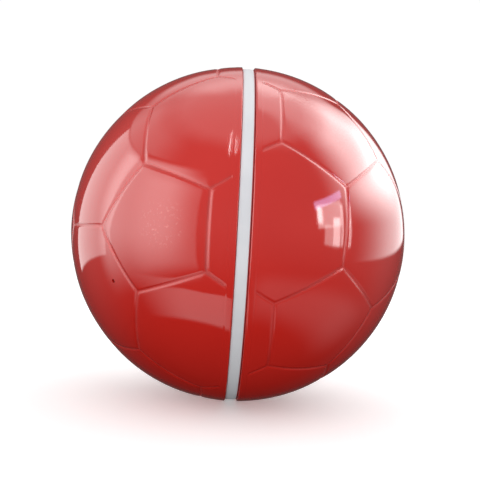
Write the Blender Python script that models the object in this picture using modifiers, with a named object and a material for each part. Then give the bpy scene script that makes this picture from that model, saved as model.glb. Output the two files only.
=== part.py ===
"""Hard-shell tetherball: two red shells on a joining ring, with a swivel inside for the tether.

The origin is the ball's centre. X runs along the axis of the centre band, from the left shell
to the right one. The tether leaves through the top of the band, at +Z, and -Y is the front.
"""

import bpy
import bmesh
from math import acos, cos, pi, radians, sin, sqrt
from mathutils import Matrix, Vector

# Ball
BALL_R = 0.108
WALL = 0.0025
GAP = 0.0003  # between pieces that touch
TURNED_STEPS = 60

# Panel pattern: a pentagon at each pole, one side pentagon of the left shell facing the front
PANEL_CUTS = 3
GROOVE_WIDTH = 0.0023
GROOVE_DEPTH = 0.0007
RIGHT_TWIST = radians(-3.9)  # the lid half is not quite lined up with the fixed half

# Centre band, a strip of T section that lies in the joining ring's channel
BAND_HALF_WIDTH = 0.00325
BAND_R = 0.1070
BAND_HEAD = 0.0012
BAND_STEM_HALF_WIDTH = 0.0015
BAND_STEM = 0.0024

# Rims of the shells
LEFT_RIM_X = BAND_HALF_WIDTH + GAP
RIGHT_RIM_X = BAND_HALF_WIDTH + 0.0007  # the lid half stands off a little more
RIM_ROUND = 0.0006
LAND_R = 0.1045  # cylinder inside each rim that slides over a spigot
LAND_END_X = 0.0145

# Joining ring
RING_INNER_R = 0.0995
SPIGOT_R = LAND_R - GAP
SPIGOT_END_X = 0.0130
RIB_R = BAND_R - BAND_HEAD - GAP
CHANNEL_HALF_WIDTH = BAND_STEM_HALF_WIDTH + GAP
CHANNEL_R = RIB_R - BAND_STEM - GAP
SPIGOT_CHAMFER = 0.0008

# Seal rings
SEAL_X = 0.0090
SEAL_WIRE_R = 0.00095
SEAL_R = SPIGOT_R - SEAL_WIRE_R
SEAL_GROOVE_HALF_WIDTH = SEAL_WIRE_R + GAP
SEAL_GROOVE_R = SEAL_R - SEAL_WIRE_R - GAP

# Lugs of the ring, bosses of the left shell and the screws that join them
SHELL_SCREWS = 5
SCREW_CIRCLE_R = 0.0945
LUG_FACE_X = SPIGOT_END_X - 0.0003
LUG_THICKNESS = 0.0027
LUG_WIDTH = 0.0140
LUG_REACH = 0.0050  # from the screw's axis towards the ball's axis
LUG_ROOT = 0.0015  # how far a lug runs into the ring
BOSS_R = 0.0042
SCREW_SHANK_R = 0.0016
SCREW_HEAD_R = 0.0035
SCREW_HEAD = 0.0024
SCREW_LENGTH = 0.0120
SCREW_HOLE_R = SCREW_SHANK_R + GAP
RECESS_WIDTH = 0.0011
RECESS_LENGTH = 0.0040
RECESS_DEPTH = 0.0013

# Breather hole in a hexagon of the left shell
VENT_R = 0.0011
VENT_FROM_POLE = radians(49.5)
VENT_ROUND_X = radians(111.9)  # from the top towards the front

# Cord slot at the top, with its bush
SLOT_HALF_WIDTH = 0.0023
SLOT_HALF_LENGTH = 0.0045
BUSH_WALL = 0.0007
BUSH_FLANGE_HALF_WIDTH = 0.0031
BUSH_FLANGE_HALF_LENGTH = 0.0070
BUSH_TOP_Z = 0.10680
BUSH_FLANGE = 0.0011
PAD_BOTTOM_Z = 0.0960
PAD_HALF_WIDTH = 0.0074
PAD_HALF_LENGTH = 0.0240
PAD_TOP_Z = 0.0998
BUSH_BOTTOM_Z = PAD_BOTTOM_Z - 0.0018
CLIP = 0.0008  # push-on plate that holds the bush from inside
CLIP_HALF_WIDTH = 0.0056
CLIP_HALF_LENGTH = 0.0085

# Swivel bracket, a bent strap under the pad
STRAP = 0.0020
STRAP_HALF_WIDTH = 0.0060
STRAP_BEND_R = 0.0025  # of the strap's middle
FOOT_END_Y = 0.0235
LEG_Y = 0.0130
FOOT_Z = PAD_BOTTOM_Z - GAP - STRAP / 2
CROSS_Z = 0.0710
BRACKET_SCREWS = {"front": -0.0190, "back": 0.0190}
BRACKET_SHANK_R = 0.0014
BRACKET_HEAD_R = 0.0028
BRACKET_HEAD = 0.0020
BRACKET_SCREW_LENGTH = 0.0062

# Swivel: an eye whose stem turns in the bracket's cross bar
STEM_R = 0.0023
STEM_HOLE_R = STEM_R + 0.0004
EYE_Z = 0.0820
EYE_R = 0.0055
EYE_WIRE_R = 0.0018
WASHER_R = 0.0050
WASHER = 0.0008
COLLAR_R = 0.0042
NUT_AF = 0.0080
NUT_HEIGHT = 0.0045
STEM_END = 0.0014  # thread that shows past the nut

WHITE = (0.80, 0.81, 0.83)
RED = (0.53, 0.020, 0.015)
DULL_RED = (0.45, 0.018, 0.014)


def fresh_collection(name):
    collection = bpy.data.collections.new(name)
    bpy.context.scene.collection.children.link(collection)
    return collection


def finish_of(name, colour, roughness, metallic=0.0):
    material = bpy.data.materials.new(name)
    material.use_nodes = True
    shader = material.node_tree.nodes["Principled BSDF"]
    shader.inputs["Base Color"].default_value = (*colour, 1.0)
    shader.inputs["Roughness"].default_value = roughness
    shader.inputs["Metallic"].default_value = metallic
    material.diffuse_color = (*colour, 1.0)
    return material


def add_object(name, mesh, collection, material=None):
    obj = bpy.data.objects.new(name, mesh)
    collection.objects.link(obj)
    if material:
        mesh.materials.append(material)
    return obj


def add_bmesh(name, bm, collection, material=None):
    mesh = bpy.data.meshes.new(name)
    bm.normal_update()
    bmesh.ops.recalc_face_normals(bm, faces=bm.faces[:])
    bm.to_mesh(mesh)
    bm.free()
    return add_object(name, mesh, collection, material)


def as_cutter(obj):
    obj.hide_render = True
    obj.display_type = "WIRE"
    return obj


def boolean(obj, tool, operation):
    modifier = obj.modifiers.new(tool.name, "BOOLEAN")
    modifier.operation = operation
    modifier.solver = "EXACT"
    modifier.object = tool


def turned(name, outline, collection, material=None, steps=TURNED_STEPS):
    """A closed outline of (radius, height) points turned about local Z."""
    bm = bmesh.new()
    points = [bm.verts.new((radius, 0, height)) for radius, height in outline]
    on_axis = outline[0][0] == 0 and outline[-1][0] == 0
    for first, second in zip(points, points[1:] if on_axis else points[1:] + points[:1]):
        bm.edges.new((first, second))
    mesh = bpy.data.meshes.new(name)
    bm.to_mesh(mesh)
    bm.free()
    obj = add_object(name, mesh, collection, material)
    screw = obj.modifiers.new("turn", "SCREW")
    screw.steps = steps
    screw.render_steps = steps
    screw.use_merge_vertices = True
    screw.merge_threshold = 0.00001
    return obj


def baked(obj):
    """Replace an object's mesh by its evaluated one, with normals pointing out."""
    evaluated = obj.evaluated_get(bpy.context.evaluated_depsgraph_get())
    mesh = bpy.data.meshes.new_from_object(evaluated)
    obj.modifiers.clear()
    bm = bmesh.new()
    bm.from_mesh(mesh)
    bmesh.ops.recalc_face_normals(bm, faces=bm.faces[:])
    bm.to_mesh(mesh)
    bm.free()
    obj.data = mesh
    return obj


def along_x(obj):
    """Lay a shape turned about Z along X."""
    obj.rotation_euler = (0, pi / 2, 0)
    return obj


def block(name, low, high, collection):
    bm = bmesh.new()
    bmesh.ops.create_cube(bm, size=1)
    low, high = Vector(low), Vector(high)
    for vert in bm.verts:
        vert.co = (low + high) / 2 + vert.co * (high - low)
    return add_bmesh(name, bm, collection)


def rod(name, radius, start, end, collection, segments=24):
    """A plain cylinder between two points."""
    start, end = Vector(start), Vector(end)
    bm = bmesh.new()
    bmesh.ops.create_cone(
        bm, cap_ends=True, segments=segments, radius1=radius, radius2=radius, depth=(end - start).length
    )
    turn = (end - start).to_track_quat("Z", "Y").to_matrix().to_4x4()
    bm.transform(Matrix.Translation((start + end) / 2) @ turn)
    return add_bmesh(name, bm, collection)


def slot_outline(half_width, half_length, end_steps=8):
    """Points of a round-ended slot that is long in Y."""
    middle = half_length - half_width
    points = []
    for side in (1, -1):
        for step in range(end_steps + 1):
            angle = pi * step / end_steps
            points.append((side * half_width * cos(angle), side * (middle + half_width * sin(angle))))
    return points


def prism(name, outline, low_z, high_z, collection, material=None):
    """A flat outline in X and Y raised from one height to another."""
    bm = bmesh.new()
    base = bm.faces.new([bm.verts.new((x, y, low_z)) for x, y in outline])
    raised = bmesh.ops.extrude_face_region(bm, geom=[base])["geom"]
    for vert in (item for item in raised if isinstance(item, bmesh.types.BMVert)):
        vert.co.z = high_z
    return add_bmesh(name, bm, collection, material)


def round_x(angle, radius, x):
    """A point at an angle round the X axis, from the top towards the front."""
    return Vector((x, -radius * sin(angle), radius * cos(angle)))


# The panelled form


def panelled_ball():
    """A ball of 12 pentagons and 20 hexagons with a groove along every border."""
    bm = bmesh.new()
    bmesh.ops.create_icosphere(bm, subdivisions=1, radius=BALL_R)
    third = 100 / 3
    bmesh.ops.bevel(
        bm, geom=bm.verts[:], offset=third, offset_type="PERCENT", segments=1, profile=0.5, affect="VERTICES"
    )
    for vert in bm.verts:
        vert.co = vert.co.normalized() * BALL_R
    corners = set(bm.verts)
    panels = bm.faces[:]
    bmesh.ops.inset_individual(bm, faces=panels, thickness=GROOVE_WIDTH / 2, use_even_offset=True)
    for edge in bm.edges:
        edge.seam = corners.issuperset(edge.verts)
    bmesh.ops.poke(bm, faces=panels)
    lengthwise = [edge for edge in bm.edges if edge.seam or not corners.intersection(edge.verts)]
    bmesh.ops.subdivide_edges(bm, edges=lengthwise, cuts=PANEL_CUTS, use_grid_fill=True)
    borders = {vert for edge in bm.edges if edge.seam for vert in edge.verts}
    for vert in bm.verts:
        x, y, z = vert.co.normalized() * (BALL_R - GROOVE_DEPTH if vert in borders else BALL_R)
        vert.co = (z, x, y)
    return bm


def hollow_outline(rim_x):
    """What is cut from the ball to leave the half at +X: the other half, the land and the hollow."""
    far = 1.2 * BALL_R
    inner_r = BALL_R - WALL
    outline = [
        (0, -far),
        (far, -far),
        (far, rim_x + RIM_ROUND),
        (BALL_R, rim_x + RIM_ROUND),
        (BALL_R - RIM_ROUND, rim_x),
        (LAND_R + RIM_ROUND / 2, rim_x),
        (LAND_R, rim_x + RIM_ROUND / 2),
        (LAND_R, LAND_END_X),
    ]
    start = acos(LAND_END_X / inner_r)
    steps = 8
    for step in range(1, steps):
        angle = start * (1 - step / steps)
        outline.append((inner_r * sin(angle), inner_r * cos(angle)))
    return outline + [(0, inner_r)]


def half_shell(name, rim_x, material):
    """A half at +X, as moulded. One side pentagon faces +Y."""
    obj = add_bmesh(name, panelled_ball(), parts, material)
    cutter = as_cutter(along_x(turned(name + "_hollow", hollow_outline(rim_x), cutters)))
    boolean(obj, baked(cutter), "DIFFERENCE")
    bpy.context.view_layer.update()
    return baked(obj)


def right_shell(material):
    obj = half_shell("right_shell", RIGHT_RIM_X, material)
    obj.rotation_euler = (RIGHT_TWIST, 0, 0)


def left_shell(material):
    """The same form turned about Z, with screw bosses and a breather hole."""
    obj = half_shell("left_shell", LEFT_RIM_X, material)
    obj.data.transform(Matrix.Rotation(pi, 4, "Z"))
    end_x = -(LUG_FACE_X + GAP)
    for number, angle in screw_angles():
        boss = rod(
            f"boss_{number}",
            BOSS_R,
            round_x(angle, SCREW_CIRCLE_R, end_x),
            round_x(angle, SCREW_CIRCLE_R, -BALL_R / 2),
            cutters,
            segments=16,
        )
        ends = [vert for vert in boss.data.vertices if vert.co.x < end_x - BOSS_R]
        middle_of_wall = BALL_R - WALL / 2
        for vert in ends:  # the boss ends inside the shell's curved wall
            from_axis = sqrt(vert.co.y**2 + vert.co.z**2)
            vert.co.x = -sqrt(middle_of_wall**2 - from_axis**2)
        boolean(obj, as_cutter(boss), "UNION")
        pilot = rod(
            f"pilot_{number}",
            SCREW_HOLE_R,
            round_x(angle, SCREW_CIRCLE_R, 0),
            round_x(angle, SCREW_CIRCLE_R, end_x - SCREW_LENGTH),
            cutters,
            segments=12,
        )
        boolean(obj, as_cutter(pilot), "DIFFERENCE")
    pole_distance = Vector((-cos(VENT_FROM_POLE), 0, 0))
    direction = pole_distance + round_x(VENT_ROUND_X, sin(VENT_FROM_POLE), 0)
    vent = rod("vent", VENT_R, direction * 0.9 * BALL_R, direction * 1.1 * BALL_R, cutters, segments=12)
    boolean(obj, as_cutter(vent), "DIFFERENCE")


# The ring, the band and the seals


def screw_angles():
    """Screw numbers and angles: evenly round, with the top left free for the swivel."""
    for number in range(SHELL_SCREWS):
        yield number + 1, 2 * pi * (number + 0.5) / SHELL_SCREWS


def ring_outline():
    """Half of the ring's section from its middle outwards, then the same mirrored."""
    half = [
        (CHANNEL_R, 0),
        (CHANNEL_R, CHANNEL_HALF_WIDTH),
        (RIB_R, CHANNEL_HALF_WIDTH),
        (RIB_R, BAND_HALF_WIDTH),
        (SPIGOT_R, BAND_HALF_WIDTH),
        (SPIGOT_R, SEAL_X - SEAL_GROOVE_HALF_WIDTH),
        (SEAL_GROOVE_R, SEAL_X - SEAL_GROOVE_HALF_WIDTH),
        (SEAL_GROOVE_R, SEAL_X + SEAL_GROOVE_HALF_WIDTH),
        (SPIGOT_R, SEAL_X + SEAL_GROOVE_HALF_WIDTH),
        (SPIGOT_R, SPIGOT_END_X - SPIGOT_CHAMFER),
        (SPIGOT_R - SPIGOT_CHAMFER, SPIGOT_END_X),
        (RING_INNER_R, SPIGOT_END_X),
    ]
    return half[:0:-1] + [(radius, -height) for radius, height in half[1:]]


def joining_ring(material):
    obj = along_x(turned("joining_ring", ring_outline(), parts, material))
    bpy.context.view_layer.update()
    baked(obj)
    obj.data.transform(obj.matrix_basis)
    obj.rotation_euler = (0, 0, 0)
    pad = block(
        "pad",
        (-PAD_HALF_WIDTH, -PAD_HALF_LENGTH, PAD_BOTTOM_Z),
        (PAD_HALF_WIDTH, PAD_HALF_LENGTH, PAD_TOP_Z),
        cutters,
    )
    boolean(obj, as_cutter(pad), "UNION")
    for number, angle in screw_angles():
        lug = block(
            f"lug_{number}",
            (-LUG_FACE_X, -LUG_WIDTH / 2, SCREW_CIRCLE_R - LUG_REACH),
            (-LUG_FACE_X + LUG_THICKNESS, LUG_WIDTH / 2, RING_INNER_R + LUG_ROOT),
            cutters,
        )
        lug.data.transform(Matrix.Rotation(angle, 4, "X"))
        boolean(obj, as_cutter(lug), "UNION")
        hole = rod(
            f"lug_hole_{number}",
            SCREW_HOLE_R,
            round_x(angle, SCREW_CIRCLE_R, -2 * SPIGOT_END_X),
            round_x(angle, SCREW_CIRCLE_R, 0),
            cutters,
            segments=12,
        )
        boolean(obj, as_cutter(hole), "DIFFERENCE")
    outline = slot_outline(SLOT_HALF_WIDTH + BUSH_WALL + GAP, SLOT_HALF_LENGTH + BUSH_WALL + GAP)
    slot = prism("ring_slot", outline, PAD_BOTTOM_Z - WALL, BALL_R, cutters)
    boolean(obj, as_cutter(slot), "DIFFERENCE")
    top = FOOT_Z - STRAP / 2 + BRACKET_SCREW_LENGTH + GAP
    for side, y in BRACKET_SCREWS.items():
        hole = rod(
            f"pad_hole_{side}",
            BRACKET_SHANK_R + GAP,
            (0, y, PAD_BOTTOM_Z - WALL),
            (0, y, top),
            cutters,
            segments=12,
        )
        boolean(obj, as_cutter(hole), "DIFFERENCE")


def centre_band(material):
    head_bottom = BAND_R - BAND_HEAD
    stem_bottom = RIB_R - BAND_STEM
    outline = [
        (BAND_R, BAND_HALF_WIDTH),
        (BAND_R, -BAND_HALF_WIDTH),
        (head_bottom, -BAND_HALF_WIDTH),
        (head_bottom, -BAND_STEM_HALF_WIDTH),
        (stem_bottom, -BAND_STEM_HALF_WIDTH),
        (stem_bottom, BAND_STEM_HALF_WIDTH),
        (head_bottom, BAND_STEM_HALF_WIDTH),
        (head_bottom, BAND_HALF_WIDTH),
    ]
    obj = along_x(turned("centre_band", outline, parts, material))
    end_y = BUSH_FLANGE_HALF_LENGTH + GAP
    half_width = BAND_HALF_WIDTH + WALL
    opening = block(
        "band_opening", (-half_width, -end_y, RING_INNER_R), (half_width, end_y, BALL_R), cutters
    )
    boolean(obj, as_cutter(opening), "DIFFERENCE")


def seal_rings(material):
    for name, x in (("left_seal_ring", -SEAL_X), ("right_seal_ring", SEAL_X)):
        bpy.ops.mesh.primitive_torus_add(
            location=(x, 0, 0),
            rotation=(0, pi / 2, 0),
            major_segments=TURNED_STEPS,
            minor_segments=6,
            major_radius=SEAL_R,
            minor_radius=SEAL_WIRE_R,
        )
        obj = bpy.context.object
        obj.name = name
        obj.data.name = name
        obj.data.materials.append(material)
        for collection in obj.users_collection:
            collection.objects.unlink(obj)
        parts.objects.link(obj)


# Fasteners


def pan_head_screw(name, shank_r, head_r, head, length, steps, material):
    """Points down local -Z, with its head's seat at the origin and a cross recess on top."""
    dome = [(head_r * cos(angle), head * (0.35 + 0.65 * sin(angle))) for angle in (0, pi / 6, pi / 3)]
    outline = [(0, head), *reversed(dome), (head_r, 0), (shank_r, 0), (shank_r, -length + shank_r)]
    outline += [(shank_r * 0.4, -length), (0, -length)]
    obj = turned(name, outline, parts, material, steps)
    for turn in (0, pi / 2):
        half_length, half_width = RECESS_LENGTH / 2, RECESS_WIDTH / 2
        if turn:  # one bar a hair narrower, so that no faces of the two lie in one plane
            half_width *= 0.98
        bar = block(
            f"{name}_recess_{'a' if turn else 'b'}",
            (-half_length, -half_width, head - RECESS_DEPTH),
            (half_length, half_width, head * 1.5),
            cutters,
        )
        bar.data.transform(Matrix.Rotation(turn, 4, "Z"))
        bar.parent = obj
        boolean(obj, as_cutter(bar), "DIFFERENCE")
    return obj


def shell_screws(material):
    head_x = -LUG_FACE_X + LUG_THICKNESS + GAP
    for number, angle in screw_angles():
        obj = pan_head_screw(
            f"shell_screw_{number}", SCREW_SHANK_R, SCREW_HEAD_R, SCREW_HEAD, SCREW_LENGTH, 12, material
        )
        obj.location = round_x(angle, SCREW_CIRCLE_R, head_x)
        obj.rotation_mode = "ZYX"
        obj.rotation_euler = (3 * angle, pi / 2, 0)


def bracket_screws(material):
    seat_z = FOOT_Z - STRAP / 2 - GAP
    for side, y in BRACKET_SCREWS.items():
        name = f"bracket_screw_{side}"
        obj = pan_head_screw(
            name, BRACKET_SHANK_R, BRACKET_HEAD_R, BRACKET_HEAD, BRACKET_SCREW_LENGTH, 12, material
        )
        obj.location = (0, y, seat_z)
        obj.rotation_euler = (pi, 0, 0)


# The tether's way in and its swivel


def cord_bush(material):
    wall = BUSH_WALL
    tube = slot_outline(SLOT_HALF_WIDTH + wall, SLOT_HALF_LENGTH + wall)
    obj = prism("cord_bush", tube, BUSH_BOTTOM_Z, BUSH_TOP_Z - BUSH_FLANGE / 2, parts, material)
    flange = prism(
        "bush_flange",
        slot_outline(BUSH_FLANGE_HALF_WIDTH, BUSH_FLANGE_HALF_LENGTH),
        BUSH_TOP_Z - BUSH_FLANGE,
        BUSH_TOP_Z,
        cutters,
    )
    boolean(obj, as_cutter(flange), "UNION")
    way = slot_outline(SLOT_HALF_WIDTH, SLOT_HALF_LENGTH)
    hole = prism("bush_hole", way, BUSH_BOTTOM_Z - WALL, BUSH_TOP_Z + WALL, cutters)
    boolean(obj, as_cutter(hole), "DIFFERENCE")


def bush_clip(material):
    top = PAD_BOTTOM_Z - GAP
    plate = slot_outline(CLIP_HALF_WIDTH, CLIP_HALF_LENGTH)
    obj = prism("bush_clip", plate, top - CLIP, top, parts, material)
    way = slot_outline(SLOT_HALF_WIDTH + BUSH_WALL + GAP, SLOT_HALF_LENGTH + BUSH_WALL + GAP)
    hole = prism("clip_hole", way, top - 2 * CLIP, top + CLIP, cutters)
    boolean(obj, as_cutter(hole), "DIFFERENCE")


def strap_path():
    """The middle of the strap in Y and Z, from the front foot to the back one."""
    corners = [
        (-FOOT_END_Y, FOOT_Z),
        (-LEG_Y, FOOT_Z),
        (-LEG_Y, CROSS_Z),
        (LEG_Y, CROSS_Z),
        (LEG_Y, FOOT_Z),
        (FOOT_END_Y, FOOT_Z),
    ]
    path = [Vector(corners[0])]
    for before, corner, after in zip(corners, corners[1:], corners[2:]):
        corner = Vector(corner)
        back = (Vector(before) - corner).normalized() * STRAP_BEND_R
        on = (Vector(after) - corner).normalized() * STRAP_BEND_R
        centre = corner + back + on
        for step in range(5):
            angle = pi / 2 * step / 4
            path.append(centre - on * cos(angle) - back * sin(angle))
    return path + [Vector(corners[-1])]


def swivel_bracket(material):
    bm = bmesh.new()
    points = [bm.verts.new((-STRAP_HALF_WIDTH, y, z)) for y, z in strap_path()]
    edges = [bm.edges.new(pair) for pair in zip(points, points[1:])]
    widened = bmesh.ops.extrude_edge_only(bm, edges=edges)["geom"]
    for vert in (item for item in widened if isinstance(item, bmesh.types.BMVert)):
        vert.co.x = STRAP_HALF_WIDTH
    obj = add_bmesh("swivel_bracket", bm, parts, material)
    solidify = obj.modifiers.new("strap", "SOLIDIFY")
    solidify.thickness = STRAP
    solidify.offset = 0
    solidify.use_even_offset = True
    holes = [("stem_hole", STEM_HOLE_R, 0, CROSS_Z)]
    holes += [(f"foot_hole_{side}", BRACKET_SHANK_R + GAP, y, FOOT_Z) for side, y in BRACKET_SCREWS.items()]
    for name, radius, y, z in holes:
        hole = rod(name, radius, (0, y, z - 2 * STRAP), (0, y, z + 2 * STRAP), cutters, segments=16)
        boolean(obj, as_cutter(hole), "DIFFERENCE")


def washer(name, bottom_z, material):
    outline = [(WASHER_R, WASHER), (WASHER_R, 0), (STEM_HOLE_R, 0), (STEM_HOLE_R, WASHER)]
    turned(name, outline, parts, material, 20).location.z = bottom_z


def swivel(steel, nylon):
    cross_top = CROSS_Z + STRAP / 2
    cross_bottom = CROSS_Z - STRAP / 2
    collar_bottom = cross_top + 2 * GAP + WASHER
    nut_top = cross_bottom - 2 * GAP - WASHER
    nut_bottom = nut_top - NUT_HEIGHT
    eye_bottom = EYE_Z - EYE_R
    outline = [
        (0, eye_bottom),
        (STEM_R, eye_bottom),
        (STEM_R, eye_bottom - EYE_WIRE_R / 2),
        (COLLAR_R, eye_bottom - EYE_WIRE_R),
        (COLLAR_R, collar_bottom),
        (STEM_R, collar_bottom),
        (STEM_R, nut_bottom - STEM_END + STEM_R / 4),
        (STEM_R * 0.75, nut_bottom - STEM_END),
        (0, nut_bottom - STEM_END),
    ]
    obj = turned("swivel_eye", outline, parts, steel, 16)
    bpy.ops.mesh.primitive_torus_add(
        location=(0, 0, EYE_Z),
        rotation=(0, pi / 2, 0),
        major_segments=24,
        minor_segments=8,
        major_radius=EYE_R,
        minor_radius=EYE_WIRE_R,
    )
    ring = bpy.context.object
    ring.name = "eye_ring"
    for collection in ring.users_collection:
        collection.objects.unlink(ring)
    cutters.objects.link(ring)
    boolean(obj, as_cutter(ring), "UNION")

    washer("upper_washer", cross_top + GAP, nylon)
    washer("lower_washer", cross_bottom - GAP - WASHER, nylon)

    corner_r = NUT_AF / sqrt(3)
    hexagon = [(corner_r * cos(pi / 3 * n), corner_r * sin(pi / 3 * n)) for n in range(6)]
    nut = prism("lock_nut", hexagon, nut_bottom, nut_top, parts, steel)
    bore = rod("nut_bore", STEM_R + GAP, (0, 0, nut_bottom - WALL), (0, 0, nut_top + WALL), cutters)
    boolean(nut, as_cutter(bore), "DIFFERENCE")


def shade_round_pieces():
    for obj in parts.objects:
        obj.data.shade_smooth()
        obj.data.set_sharp_from_angle(angle=radians(30))


for old in list(bpy.data.objects):
    bpy.data.objects.remove(old)
parts = fresh_collection("tetherball")
cutters = fresh_collection("cutters")

red_plastic = finish_of("red_plastic", RED, 0.12)
white_rubber = finish_of("white_rubber", WHITE, 0.65)
red_moulding = finish_of("red_moulding", DULL_RED, 0.45)
black_rubber = finish_of("black_rubber", (0.03, 0.03, 0.03), 0.7)
steel = finish_of("steel", (0.60, 0.61, 0.62), 0.3, 1.0)
natural_nylon = finish_of("natural_nylon", (0.85, 0.82, 0.74), 0.5)

left_shell(red_plastic)
right_shell(red_plastic)
joining_ring(red_moulding)
centre_band(white_rubber)
seal_rings(black_rubber)
shell_screws(steel)
cord_bush(steel)
bush_clip(steel)
swivel_bracket(steel)
bracket_screws(steel)
swivel(steel, natural_nylon)
shade_round_pieces()
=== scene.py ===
"""The tetherball's looks: finely modelled shells, band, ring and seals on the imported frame, with
finishes and a plain studio.

Metres, in the frame's own axes: the origin is the ball's centre, X is the axis of the centre band,
-Y is the front and +Z is where the tether leaves.
"""

from math import asin, cos, pi, radians, sin, sqrt

import bmesh
import bpy
from mathutils import Matrix, Vector

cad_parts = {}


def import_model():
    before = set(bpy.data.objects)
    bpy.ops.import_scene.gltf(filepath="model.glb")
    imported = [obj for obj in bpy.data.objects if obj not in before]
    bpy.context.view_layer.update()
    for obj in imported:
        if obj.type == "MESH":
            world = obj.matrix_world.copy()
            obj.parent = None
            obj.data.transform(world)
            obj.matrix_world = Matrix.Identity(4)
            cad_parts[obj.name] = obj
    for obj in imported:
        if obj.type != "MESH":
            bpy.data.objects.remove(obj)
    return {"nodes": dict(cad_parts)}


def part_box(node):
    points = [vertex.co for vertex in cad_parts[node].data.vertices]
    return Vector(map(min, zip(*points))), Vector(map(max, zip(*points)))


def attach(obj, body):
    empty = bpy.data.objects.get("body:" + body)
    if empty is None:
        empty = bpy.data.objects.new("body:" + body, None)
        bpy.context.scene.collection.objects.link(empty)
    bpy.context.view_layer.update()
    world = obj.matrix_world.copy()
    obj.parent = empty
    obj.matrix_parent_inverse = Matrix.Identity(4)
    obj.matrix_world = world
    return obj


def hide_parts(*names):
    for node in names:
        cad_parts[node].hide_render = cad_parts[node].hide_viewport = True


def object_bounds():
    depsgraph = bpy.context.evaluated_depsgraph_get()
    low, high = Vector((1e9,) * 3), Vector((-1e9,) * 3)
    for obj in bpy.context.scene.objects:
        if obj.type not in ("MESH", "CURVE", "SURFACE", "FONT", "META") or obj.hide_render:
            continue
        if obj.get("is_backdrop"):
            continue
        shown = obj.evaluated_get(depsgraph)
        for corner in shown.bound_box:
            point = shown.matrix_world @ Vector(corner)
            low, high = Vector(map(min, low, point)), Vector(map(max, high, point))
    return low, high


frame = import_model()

cad_low, cad_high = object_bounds()

# Sizes read from the frame
BALL_R = cad_high.x
LEFT_RIM_X = -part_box("left_shell")[1].x
RIGHT_RIM_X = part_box("right_shell")[0].x
BAND_HALF_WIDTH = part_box("centre_band")[1].x
BAND_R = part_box("centre_band")[1].y
SPIGOT_END_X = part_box("joining_ring")[1].x
BUSH_BOTTOM_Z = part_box("cord_bush")[0].z

GAP = 0.0003  # between pieces that touch
SAME_POINT = 0.000001
SHARP_ANGLE = radians(40)  # between faces that aren't shaded as one

# Shells, as in the CAD model
WALL = 0.0025
LAND_R = 0.1045  # cylinder inside each rim that slides over a spigot
LAND_END_X = SPIGOT_END_X + 0.0015
LAND_STEP = 0.0004  # along X, from the land's end to the inside of the dome
RIGHT_TWIST = radians(-3.9)  # the lid half is not quite lined up with the fixed half
LEFT_EDGE_ROUND = 0.0004  # of the rims' outer edges
RIGHT_EDGE_ROUND = 0.0010
INNER_EDGE_ROUND = LEFT_EDGE_ROUND
OUTER_EDGE_STEPS = 6
INNER_EDGE_STEPS = 4
DOME_STEPS = 22

# Panels: grooves along great circles, panels a little more domed than the ball
EDGE_STEPS = 22
GROOVE_HALF_WIDTH = 0.0017
GROOVE_DEPTH = 0.00029
PILLOW = 0.0003
GROOVE_CORNERS = 5  # how sharply grooves and domes follow a panel's corners
PILLOW_CORNERS = 2
BORDER_INSETS = (0, 0.0003, 0.0006, 0.0009, 0.0012, 0.0015, 0.0019, 0.0025, 0.0034, 0.0048)
RING_STEP = 0.0029  # between the rings of faces further in
PANEL_REACH = 0.045  # panels whose centres lie further past the middle don't reach the half
VERTEX_CUT = 100 / 3  # per cent of an icosahedron's edges, which leaves equal sides
ON_BORDER = 0.0000001
SEAM_MERGE = 0.00001
RIM_MERGE = 0.0001

# Plain turned strip next to each rim, with a low step where it ends
COLLAR = 0.0034
COLLAR_STEP = 0.0009
COLLAR_RISE = 0.00006
COLLAR_LOOPS = 6  # rows of faces across the step
RIM_LOOPS = 3  # cuts at the rim and next to it, which keep its shading off the strip
RIM_LOOP_STEP = 0.0003
GROOVE_FADE = 0.0018  # how far past the strip grooves and domes reach their full depth
DOME_FADE = 0.0140

OUTSIDE, INSIDE = 0, 1  # the shells' material slots

# Bosses of the left shell, with their screws' pilot holes, and its breather hole
SHELL_SCREWS = 5
SCREW_CIRCLE_R = 0.0945
BOSS_R = 0.0042
BOSS_FACE_X = 0.0130
BOSS_CHAMFER = 0.0004
BOSS_SEGMENTS = 40
PILOT_R = 0.0019
PILOT_LENGTH = 0.0120
VENT_R = 0.0011
VENT_FROM_POLE = radians(49.5)
VENT_ROUND_X = radians(111.9)  # from the top towards the front
HOLE_SEGMENTS = 24

# Centre band, a strip of T section with eased edges
BAND_EDGE_ROUND = 0.0003
BAND_EDGE_STEPS = 4
BAND_CROWN = 0.00012  # rise from the eased edges to the flat middle
BAND_FLAT_HALF_WIDTH = 0.0012
BAND_HEAD = 0.0012
BAND_STEM = 0.0024
BAND_STEM_HALF_WIDTH = 0.0015
BAND_OPENING_HALF_LENGTH = 0.0073  # at the top, where the bush sits
TURNED_STEPS = 240

# Joining ring
CHANNEL_HALF_WIDTH = BAND_STEM_HALF_WIDTH + GAP
CHANNEL_R = 0.1028
RIB_R = 0.1055
LIP_GAP = 0.00005  # between the band and the thin lip on either side of it
LIP_R = BAND_R - 0.0003
LEFT_LIP = 0.0002
RIGHT_LIP = 0.0004
SPIGOT_R = LAND_R - GAP
RING_INNER_R = 0.0995
RING_CHAMFER = 0.0008
RING_EDGE_EASE = 0.00022
EASE_STEPS = 3
EASE_SHARE = 0.4  # of a side, at most, that the easing of one corner takes
RING_BOX_EASE = 0.0004

# Seal rings and their grooves in the spigots
SEAL_X = 0.0090
SEAL_WIRE_R = 0.00095
SEAL_WIRE_STEPS = 20
SEAL_R = SPIGOT_R - SEAL_WIRE_R
SEAL_GROOVE_HALF_WIDTH = SEAL_WIRE_R + GAP
SEAL_GROOVE_R = SEAL_R - SEAL_WIRE_R - GAP

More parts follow.
